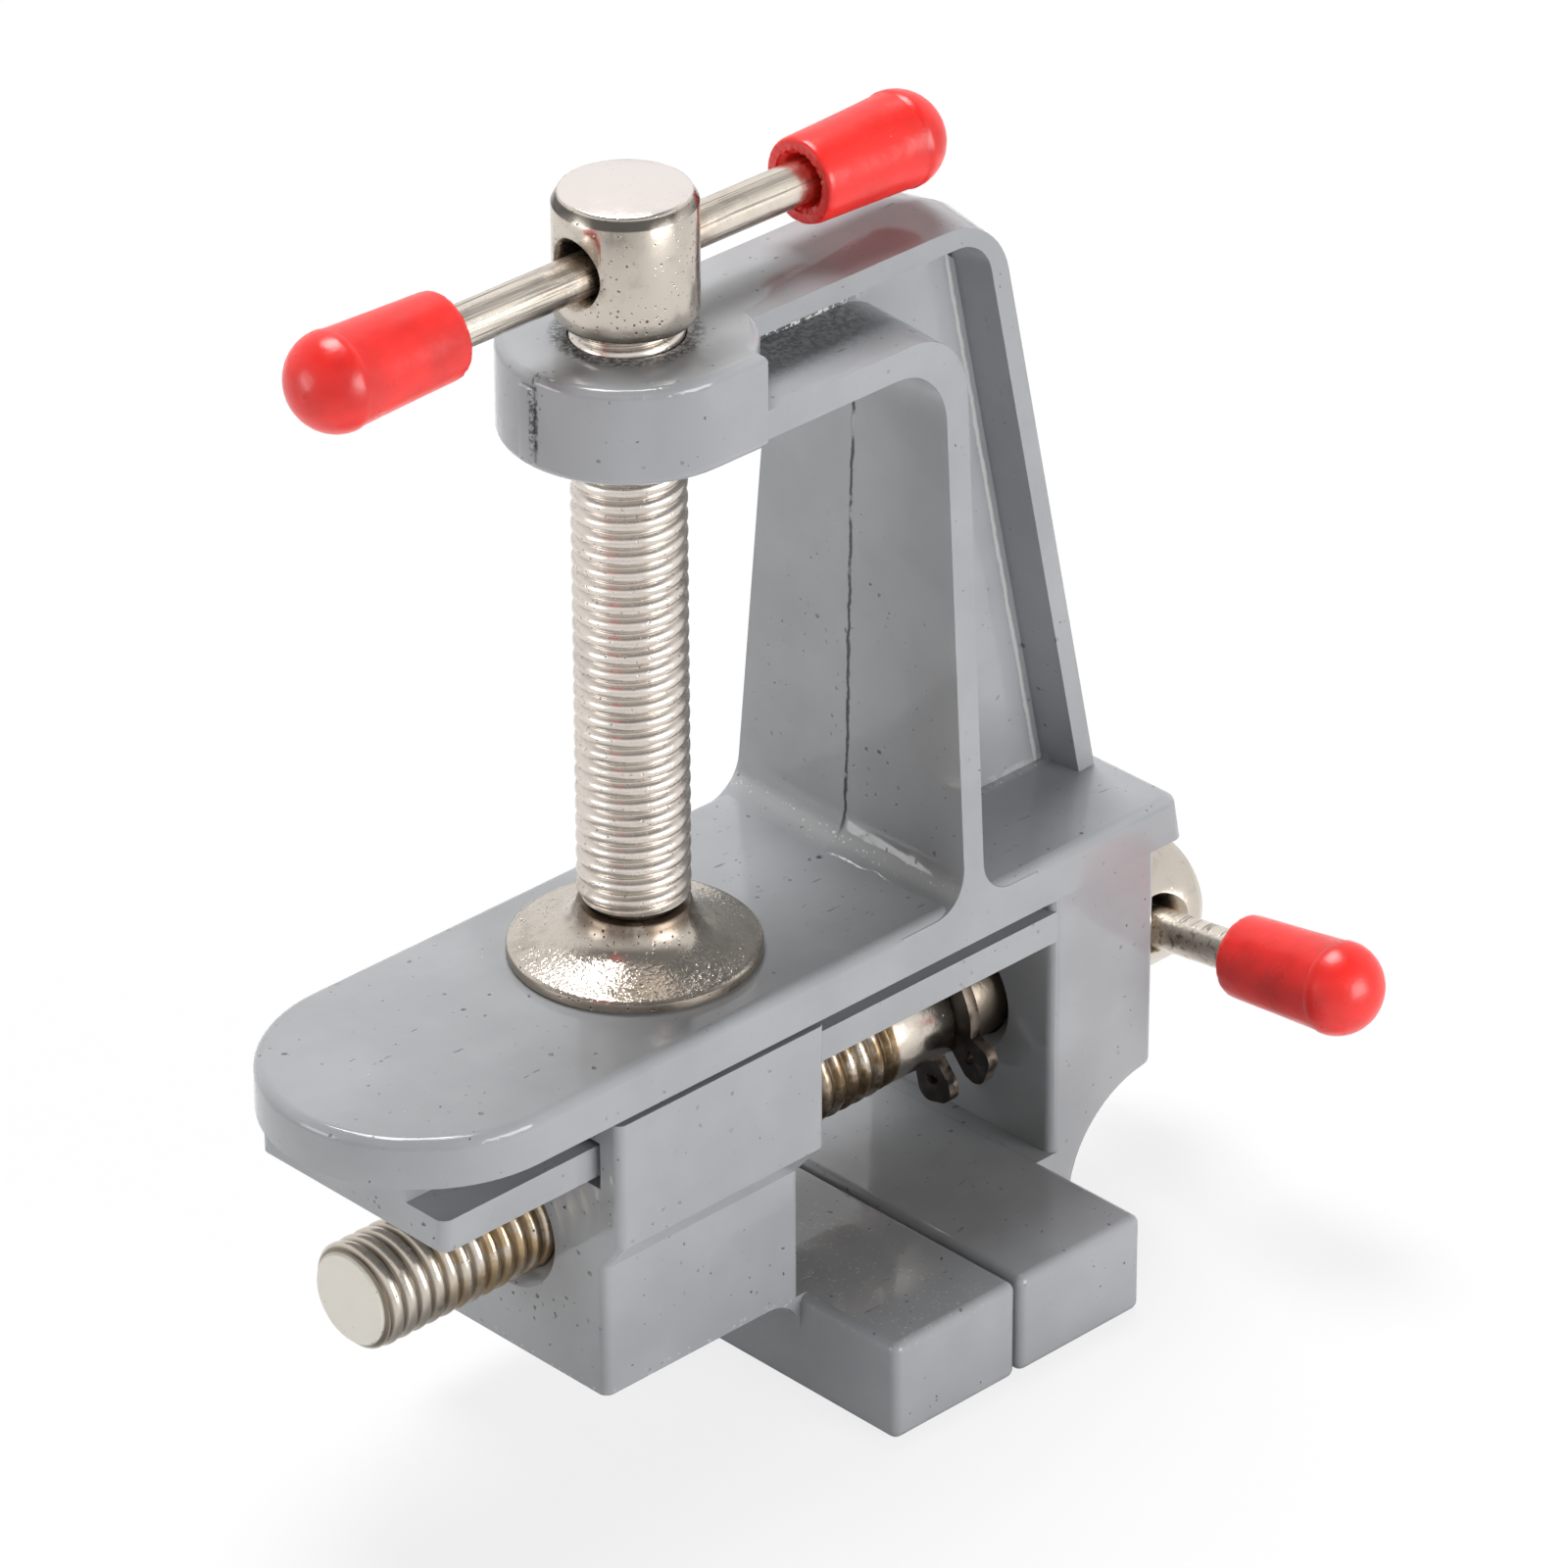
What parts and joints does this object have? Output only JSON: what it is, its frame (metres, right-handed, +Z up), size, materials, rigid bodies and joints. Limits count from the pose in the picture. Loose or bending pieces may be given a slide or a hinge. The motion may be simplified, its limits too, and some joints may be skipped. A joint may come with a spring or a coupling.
{
  "type": "table-clamp bench vise",
  "caption": "Small clamp-on hobby vise: cast jaws driven by a lead screw with a sliding bar handle, and an arched table clamp with a swivel pad; stored on its jaw tops.",
  "frame": {"origin": "centre of the flat top face of the fixed jaw, which the vise stands on as it is stored, upside down from its use on a table", "axes": "+Z up, from the jaw tops to the clamp arch; +X along the lead screw towards its handle; Y across the jaws"},
  "size_m": [0.0822, 0.0559, 0.0911],
  "materials": {
    "casting": "die cast, grey gloss enamel",
    "plated_steel": "warm nickel plate",
    "blackened_steel": "black oxide",
    "bar_steel": "drawn nickel plated rod",
    "cap": "semi-gloss soft vinyl"
  },
  "bodies": {
    "frame": {"clamp_frame": "casting"},
    "jaw": {"sliding_jaw": "casting"},
    "lead_screw": {"lead_screw": "plated_steel", "retaining_ring": "blackened_steel"},
    "lead_handle": {"lead_bar": "bar_steel", "lead_cap_a": "cap", "lead_cap_b": "cap"},
    "pad": {"clamp_pad": "plated_steel"},
    "clamp_screw": {"clamp_screw": "plated_steel"},
    "clamp_handle": {"clamp_bar": "bar_steel", "clamp_cap_a": "cap", "clamp_cap_b": "cap"}
  },
  "joints": [
    {"name": "jaw_slide", "type": "slide", "parent": "frame", "child": "jaw", "axis": [-1, 0, 0], "range_m": [-0.0002, 0.022]},
    {"name": "lead_screw_turn", "type": "hinge", "parent": "frame", "child": "lead_screw", "pos_m": [0.01735, 0, 0.0176], "axis": [1, 0, 0], "range_deg": [-58, 6337]},
    {"name": "lead_bar_slide", "type": "slide", "parent": "lead_screw", "child": "lead_handle", "axis": [0, 0.9903, -0.1392], "range_m": [-0.0139, 0.0079]},
    {"name": "pad_lift", "type": "slide", "parent": "frame", "child": "pad", "axis": [0, 0, 1], "range_m": [0, 0.0335]},
    {"name": "clamp_screw_turn", "type": "hinge", "parent": "pad", "child": "clamp_screw", "pos_m": [-0.02415, 0, 0.0807], "axis": [0, 0, 1], "range_deg": [0, 9700]},
    {"name": "clamp_bar_slide", "type": "slide", "parent": "clamp_screw", "child": "clamp_handle", "axis": [1, 0, 0], "range_m": [-0.0106, 0.0111]}
  ],
  "couplings": [
    {"joint": "lead_screw_turn", "follows": "jaw_slide", "rad_per_m": 5026.5},
    {"joint": "clamp_screw_turn", "follows": "pad_lift", "rad_per_m": 5026.5}
  ]
}
